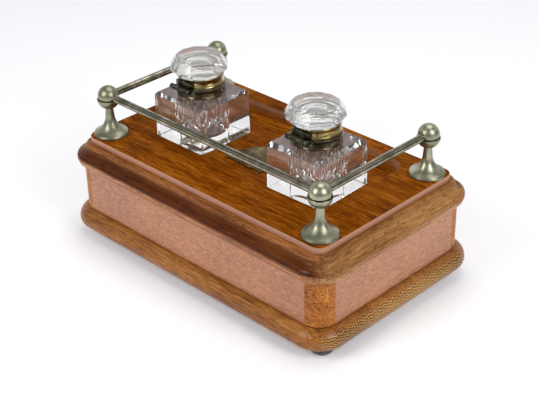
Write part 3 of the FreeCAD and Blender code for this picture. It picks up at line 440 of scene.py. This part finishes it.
paint(WOODS["top"], "top_board")
paint(WOODS["base"], "base_board")
paint(WOODS["mould_x"], "moulding_rear", "moulding_front")
paint(WOODS["mould_y"], "moulding_left", "moulding_right")
paint(WOODS["body_x"], "wall_rear", "drawer_front")
paint(WOODS["body_y"], "wall_left", "wall_right")
paint(WOODS["post"], *["corner_post_" + c for c in CORNERS])
paint(WOODS["inner_x"], "drawer_back", "drawer_bottom", "drawer_stops")
paint(WOODS["inner_y"], "drawer_side_left", "drawer_side_right", "drawer_guide_left",
      "drawer_guide_right")
paint(FOOT, *["foot_" + c for c in CORNERS])
paint(NICKEL, *[kind + c for kind in ("gallery_post_", "gallery_ball_") for c in CORNERS],
      "drawer_knob_left", "drawer_knob_right")
paint(PLATE, "plaque")
paint(RAIL_X, "rail_rear")
paint(RAIL_Y, "rail_left", "rail_right")
paint(STEEL, "plaque_pins", "post_nuts", "base_screws", "foot_screws", "top_screws",
      "drawer_knob_screws", "hinge_pin_left", "hinge_pin_right")
paint(PLASTER, "collar_plaster_left", "collar_plaster_right")


# ---- glass pieces ----------------------------------------------------------

def add(name, points, faces, smooth, material):
    """A new object from points in metres; smooth says which faces are shaded smooth."""
    mesh = bpy.data.meshes.new(name)
    mesh.from_pydata(points, [], faces)
    for face, soft in zip(mesh.polygons, smooth):
        face.use_smooth = soft
    mesh.materials.append(material)
    piece = bpy.data.objects.new(name, mesh)
    bpy.context.scene.collection.objects.link(piece)
    return piece


def skin(name, loops, place, material):
    """A closed mesh through rings of points; each loop is (points, smooth band above it)."""
    verts = [tuple(place @ Vector(p) * MM) for points, _ in loops for p in points]
    faces = []
    smooth = []
    for row, (_, soft) in enumerate(loops[:-1]):
        for i in range(RING):
            j = (i + 1) % RING
            low, high = row * RING, (row + 1) * RING
            faces.append((low + i, low + j, high + j, high + i))
            smooth.append(soft)
    faces.append(tuple(reversed(range(RING))))
    faces.append(tuple(range((len(loops) - 1) * RING, len(loops) * RING)))
    smooth += [False, False]
    return add(name, verts, faces, smooth, material)


def around(reach, height):
    """A ring of points whose radius is reach(angle), in millimetres."""
    points = []
    for i in range(RING):
        angle = 2 * math.pi * i / RING
        radius = reach(angle)
        points.append((radius * math.cos(angle), radius * math.sin(angle), height))
    return points


def circle(radius, height):
    return around(lambda angle: radius, height)


def square(half, clip, height):
    """A square with its four upright edges ground off by clip."""
    corner = half * math.sqrt(2) - clip

    def reach(angle):
        flat = half / max(abs(math.cos(angle)), abs(math.sin(angle)))
        turn = math.radians(45) - math.fmod(angle, math.radians(90))
        return min(flat, corner / math.cos(turn))
    return around(reach, height)


def shifted(points, x, y):
    """The points moved sideways."""
    return [(px + x, py + y, pz) for px, py, pz in points]


def polygon(sides, radius, height):
    """A regular polygon; radius is to its corners."""
    step = 2 * math.pi / sides

    def reach(angle):
        return radius * math.cos(step / 2) / math.cos(math.fmod(angle, step) - step / 2)
    return around(reach, height)


WELL_HALF = 29.0
WELL_TOP = 41.3
WELL_CLIP = 0.25        # how much the upright edges are ground off
WELL_TURN = math.radians(1.6)   # the left well stands a little askew
LID_FACETS = 12
LID_SHIFT = 0.8         # the cut lid sits a little off its ring, along X and Y
FLUTES = 12
FLUTE_DEPTH = 2.0
CAVITY_RADIUS = 16.5
CAVITY_FLOOR = 5.5
CAVITY_TOP = 35.5
CAVITY_ROUND = 4.0      # radius where the wall meets the floor
FLUTE_END = 17.0        # where the flutes end, at their middles
FLUTE_ARCH = 6.0        # how much lower the middles end than the ribs do


def fluted(height):
    """The ink cavity's wall: moulded flutes above, each ending in an arch, and plain below."""
    def reach(angle):
        across = abs(math.sin(angle * FLUTES / 2))
        end = FLUTE_END + FLUTE_ARCH * (1 - across)
        depth = min(max((height - end) / 1.6, 0.0), 1.0)
        top = min(max((CAVITY_TOP - height) / 1.5, 0.0), 1.0)
        return CAVITY_RADIUS - FLUTE_DEPTH * (1 - across) * depth * top
    return around(reach, height)


def well_place(side):
    """From a well's own millimetres, heights above the board, to the frame."""
    low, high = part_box("collar_plaster_" + side)
    centre = (low + high) / 2
    turn = WELL_TURN if side == "left" else 0.0
    return Matrix.Translation((centre.x / MM, centre.y / MM, BOARD_TOP / MM)) @ \
        Matrix.Rotation(turn, 4, "Z")


def make_well(side, bevel):
    """Square block with ground edges and a round neck, then down the inside to the floor."""
    loops = [
        (square(WELL_HALF - 0.4, WELL_CLIP, -1.92), False),
        (square(WELL_HALF, WELL_CLIP, -1.52), False),
        (square(WELL_HALF, WELL_CLIP, WELL_TOP - bevel), False),
        (square(WELL_HALF - bevel, WELL_CLIP * 0.6, WELL_TOP), False),
        (circle(18.7, WELL_TOP), True),
        (circle(18.15, WELL_TOP + 0.25), True),
        (circle(18.0, WELL_TOP + 0.8), True),
        (circle(18.0, 49.6), True),
        (circle(17.6, 49.95), False),
        (circle(14.4, 49.95), True),
        (circle(14.0, 49.6), True),
        (circle(14.0, 38.8), True),
        (circle(14.6, 37.6), True),
        (circle(CAVITY_RADIUS, CAVITY_TOP), True),
    ]
    wall_steps = 22
    wall_low = CAVITY_FLOOR + CAVITY_ROUND
    for i in range(1, wall_steps + 1):
        height = CAVITY_TOP + (wall_low - CAVITY_TOP) * i / wall_steps
        loops.append((fluted(height), True))
    round_steps = 8
    for i in range(1, round_steps + 1):
        angle = math.radians(90 * i / round_steps)
        loops.append((circle(CAVITY_RADIUS - CAVITY_ROUND + CAVITY_ROUND * math.cos(angle),
                             wall_low - CAVITY_ROUND * math.sin(angle)), True))
    loops.append((circle(6.0, CAVITY_FLOOR - 0.1), True))
    loops.append((circle(0.6, CAVITY_FLOOR - 0.15), True))
    piece = skin("well_glass_" + side, loops, well_place(side), CUT_GLASS)
    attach(piece, "well_" + side)
    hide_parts("inkwell_" + side)


def make_lid_glass(side):
    """Twelve-sided lid over a round spigot that is stepped below."""
    profile = ((20.9, 60.06), (21.1, 60.3), (25.2, 64.6), (25.2, 66.4), (20.1, 74.2),
               (19.7, 74.5), (1.0, 74.5))
    cut = [shifted(polygon(LID_FACETS, radius, height), LID_SHIFT, LID_SHIFT)
           for radius, height in profile]
    loops = [
        (circle(0.6, 57.2), True),
        (circle(7.0, 56.9), True),
        (circle(9.5, 55.8), True),
        (circle(10.5, 54.4), True),
        (circle(13.0, 53.9), True),
        (circle(15.6, 53.7), True),
        (circle(16.9, 54.3), True),
        (circle(17.05, 55.0), True),
        (circle(17.05, 60.0), False),
        *[(points, False) for points in cut],
    ]
    piece = skin("lid_glass_cut_" + side, loops, well_place(side), LID_GLASS)
    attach(piece, "lid_" + side)
    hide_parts("lid_glass_" + side)


COLLAR_PROFILE = ((19.35, 41.95), (20.9, 41.95), (21.2, 42.3), (21.2, 43.1), (20.75, 43.5),
                  (20.55, 44.2), (20.55, 48.3), (20.8, 48.8), (21.15, 49.3), (21.15, 50.3),
                  (20.8, 50.9), (19.35, 50.95))
LID_RING_PROFILE = ((17.25, 51.35), (20.0, 51.35), (20.35, 51.6), (20.4, 52.2), (20.05, 52.6),
                    (19.9, 53.1), (19.9, 58.5), (20.15, 58.8), (20.35, 59.3), (20.2, 59.8),
                    (19.8, 59.98), (17.25, 59.98))
HINGE_Y, HINGE_Z = 24.0, 51.15
KNUCKLE = 2.3           # radius
SOFTENED = 0.3          # how far the edges of knuckles and leaves are eased
LEAF_INSIDE = 20.2
LEAF_OUTSIDE = 21.8
SCALLOP = 0.9           # depth of the scallops on a leaf's edge


class Shell:
    """Points and faces of a piece made of several closed islands, in a well's millimetres."""

    def __init__(self):
        self.points, self.faces, self.smooth = [], [], []

    def grid(self, rows, soft, close=True):
        """Faces between rows of points; each row closes on itself, and so may the rows."""
        start, count = len(self.points), len(rows[0])
        for row in rows:
            self.points += row
        for r in range(len(rows) if close else len(rows) - 1):
            here, after = start + r * count, start + (r + 1) % len(rows) * count
            for i in range(count):
                j = (i + 1) % count
                self.faces.append((here + i, here + j, after + j, after + i))
                self.smooth.append(soft)
        if not close:
            end = start + (len(rows) - 1) * count
            self.faces.append(tuple(reversed(range(start, start + count))))
            self.faces.append(tuple(range(end, end + count)))
            self.smooth += [False, False]

    def band(self, profile):
        """A turned ring; profile is its (radius, height) outline."""
        self.grid([circle(radius, height) for radius, height in profile], True)

    def barrel(self, x0, x1):
        """A knuckle along X with softened ends."""
        rows = []
        for x, radius in ((x0, KNUCKLE - SOFTENED), (x0 + SOFTENED, KNUCKLE),
                          (x1 - SOFTENED, KNUCKLE), (x1, KNUCKLE - SOFTENED)):
            rows.append([(x, HINGE_Y + radius * math.cos(math.tau * i / 32),
                          HINGE_Z + radius * math.sin(math.tau * i / 32)) for i in range(32)])
        self.grid(rows, True, close=False)

    def leaf(self, spread, low, high, bottom, top):
        """A plate bent round the ring at the back, to spread degrees each side of the middle.

        low and high are its heights at the ends, bottom and top in the middle, and an edge
        that is taller in the middle than at the ends is scalloped.
        """
        rows = []
        steps = 40
        eased = LEAF_OUTSIDE - SOFTENED
        for i in range(steps + 1):
            share = 2 * i / steps - 1
            angle = math.radians(90 + share * spread)
            edge = 1 - abs(math.sin(share * 2.5 * math.pi)) * 0.9
            z0 = bottom + (low - bottom) * share ** 2 + edge * (SCALLOP if low > bottom else 0)
            z1 = top - (top - high) * share ** 2 - edge * (SCALLOP if high < top else 0)
            out = (math.cos(angle), math.sin(angle))
            rows.append([(out[0] * r, out[1] * r, z)
                         for r, z in ((LEAF_INSIDE, z0), (eased, z0), (LEAF_OUTSIDE, z0 + SOFTENED),
                                      (LEAF_OUTSIDE, z1 - SOFTENED), (eased, z1),
                                      (LEAF_INSIDE, z1))])
        self.grid(rows, False, close=False)

    def web(self, x0, x1, z0, z1):
        """The block that joins a knuckle to its leaf."""
        self.grid([[(x, 20.5, z0), (x, HINGE_Y - 0.6, z0), (x, HINGE_Y - 0.6, z1), (x, 20.5, z1)]
                   for x in (x0, x1)], False, close=False)

    def build(self, name, place, material):
        """The finished object, set at a well's place."""
        points = [tuple(place @ Vector(p) * MM) for p in self.points]
        return add(name, points, self.faces, self.smooth, material)


def make_collar(side):
    """Fixed collar, and on its own piece the dark hinge leaf with its outer knuckles."""
    place = well_place(side)
    band = Shell()
    band.band(COLLAR_PROFILE)
    collar = band.build("collar_band_" + side, place, BRONZE)
    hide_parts("collar_" + side)
    hinge = Shell()
    hinge.leaf(spread=33, low=46.5, high=50.9, bottom=42.9, top=50.9)
    for x0, x1 in ((-11.5, -5.3), (5.3, 11.5)):
        hinge.barrel(x0, x1)
        hinge.web(x0 + 0.3, x1 - 0.3, HINGE_Z - 2.2, HINGE_Z - 0.25)
    leaf = hinge.build("collar_hinge_" + side, place, TARNISH)
    for piece in (collar, leaf):
        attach(piece, "well_" + side)


def make_lid_ring(side):
    """The lid's ring, and its hinge leaf with the middle knuckle."""
    place = well_place(side)
    band = Shell()
    band.band(LID_RING_PROFILE)
    ring = band.build("lid_band_" + side, place, BRASS)
    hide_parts("lid_ring_" + side)
    hinge = Shell()
    hinge.leaf(spread=30, low=51.4, high=55.5, bottom=51.4, top=58.6)
    hinge.barrel(-5.0, 5.0)
    hinge.web(-4.7, 4.7, HINGE_Z + 0.25, HINGE_Z + 2.2)
    leaf = hinge.build("lid_hinge_" + side, place, TARNISH)
    for piece in (ring, leaf):
        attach(piece, "lid_" + side)


make_well("left", bevel=3.2)
make_well("right", bevel=2.2)
for side in SIDES:
    make_lid_glass(side)
    make_collar(side)
    make_lid_ring(side)


# ---- floor, light and camera -----------------------------------------------

CAMERA_AZIMUTH = 225.16         # degrees round from the front, anticlockwise seen from above
CAMERA_ELEVATION = 30.52
CAMERA_ROLL = -1.3
CAMERA_PLACE = Vector((-0.6818, 0.6733, 0.6124))
CAMERA_LENS = 84.93             # millimetres, on a sensor this wide
SENSOR_WIDTH = 36.0
FLOOR_HALF = 3.0
LIT_POINT = Vector((0, 0, 0.08))
SIDE_LAMP = {"elevation": 34, "distance": 1.3, "width": 0.55, "height": 0.75, "power": 7.0}
OVERHEAD_LAMP = {"elevation": 74, "distance": 1.5, "width": 1.1, "height": 1.1, "power": 8.0}

# The room. Heights are those of a direction's unit vector: 0 level, 1 straight up.
WALL_TOP = (0.54, 0.68)         # where the white ends, from full to none
BAND_FOOT = (0.40, 0.45)        # where the white band starts, from none to full
BACKDROP_SIDE = (0.10, 0.50)    # how far round the backdrop reaches, from none to full
ROOM_GREY = (0.14, 0.24)        # brightness of the rest, level and up to height ROOM_TOP
ROOM_TOP = 0.9
WHITE = 0.95


def toward(azimuth, elevation):
    """The direction from the inkstand out to a camera or lamp, with both angles in degrees."""
    a, e = math.radians(azimuth), math.radians(elevation)
    return Vector((math.sin(a) * math.cos(e), -math.cos(a) * math.cos(e), math.sin(e)))


def make_floor():
    """Plain white paper."""
    corners = [(x * FLOOR_HALF, y * FLOOR_HALF, 0) for x, y in ((-1, -1), (1, -1), (1, 1), (-1, 1))]
    tree = Surface("floor_paper")
    tree.set(base_color=(0.90, 0.90, 0.92, 1.0), roughness=0.9, specular_ior_level=0.1,
             emission_color=(0.97, 0.975, 1.0, 1.0), emission_strength=0.15)
    add("floor", corners, [(0, 1, 2, 3)], [False], tree.material)


def look(thing, target, roll=0.0):
    """Turn a camera or lamp towards a point, then about its own view line."""
    ahead = (target - thing.location).normalized()
    right = ahead.cross(Vector((0, 0, 1))).normalized()
    up = right.cross(ahead)
    turned_right = right * math.cos(roll) - up * math.sin(roll)
    turned_up = right * math.sin(roll) + up * math.cos(roll)
    thing.rotation_euler = Matrix((turned_right, turned_up, -ahead)).transposed().to_euler()


def softbox(name, azimuth, elevation, distance, width, height, power):
    """An area lamp aimed at the inkstand."""
    data = bpy.data.lights.new(name, "AREA")
    data.shape = "RECTANGLE"
    data.size = width
    data.size_y = height
    data.energy = power
    lamp = bpy.data.objects.new(name, data)
    lamp.location = LIT_POINT + distance * toward(azimuth, elevation)
    look(lamp, LIT_POINT)
    bpy.context.scene.collection.objects.link(lamp)


def make_world():
    """A grey room with a white backdrop across from the camera and a white band all round."""
    world = bpy.data.worlds.new("studio")
    bpy.context.scene.world = world
    world.use_nodes = True
    tree = Tree(world.node_tree)
    output = tree.nodes.new("ShaderNodeOutputWorld")
    background = tree.nodes.new("ShaderNodeBackground")
    direction = tree.nodes.new("ShaderNodeTexCoord").outputs["Generated"]
    azimuth = math.radians(CAMERA_AZIMUTH)
    ahead = (-math.sin(azimuth), math.cos(azimuth), 0.0)
    along = tree.vector("DOT_PRODUCT", direction, ahead)
    height = tree.split(direction)[2]
    wall = tree.fit(height, *WALL_TOP, 1.0, 0.0)
    beyond = tree.fit(along, *BACKDROP_SIDE)
    backdrop = tree.calc("MULTIPLY", wall, beyond)
    band = tree.calc("MULTIPLY", wall, tree.fit(height, *BAND_FOOT))
    white = tree.calc("MULTIPLY", tree.calc("MAXIMUM", backdrop, band), WHITE)
    level = tree.calc("MAXIMUM", white, tree.fit(height, 0.0, ROOM_TOP, *ROOM_GREY))
    tree.links.new(tree.join(level, level, tree.calc("MULTIPLY", level, 1.02)),
                   background.inputs[0])
    tree.links.new(background.outputs[0], output.inputs[0])


def make_camera():
    data = bpy.data.cameras.new("camera")
    data.lens = CAMERA_LENS
    data.sensor_width = SENSOR_WIDTH
    camera = bpy.data.objects.new("camera", data)
    camera.location = CAMERA_PLACE
    ahead = -toward(CAMERA_AZIMUTH, CAMERA_ELEVATION)
    look(camera, CAMERA_PLACE + ahead, -math.radians(CAMERA_ROLL))
    bpy.context.scene.collection.objects.link(camera)
    bpy.context.scene.camera = camera


make_floor()
make_world()
softbox("softbox_left", CAMERA_AZIMUTH - 56, **SIDE_LAMP)
softbox("softbox_right", CAMERA_AZIMUTH + 42, **SIDE_LAMP)
softbox("overhead", CAMERA_AZIMUTH + 150, **OVERHEAD_LAMP)
make_camera()
bpy.context.scene.view_settings.view_transform = "Standard"
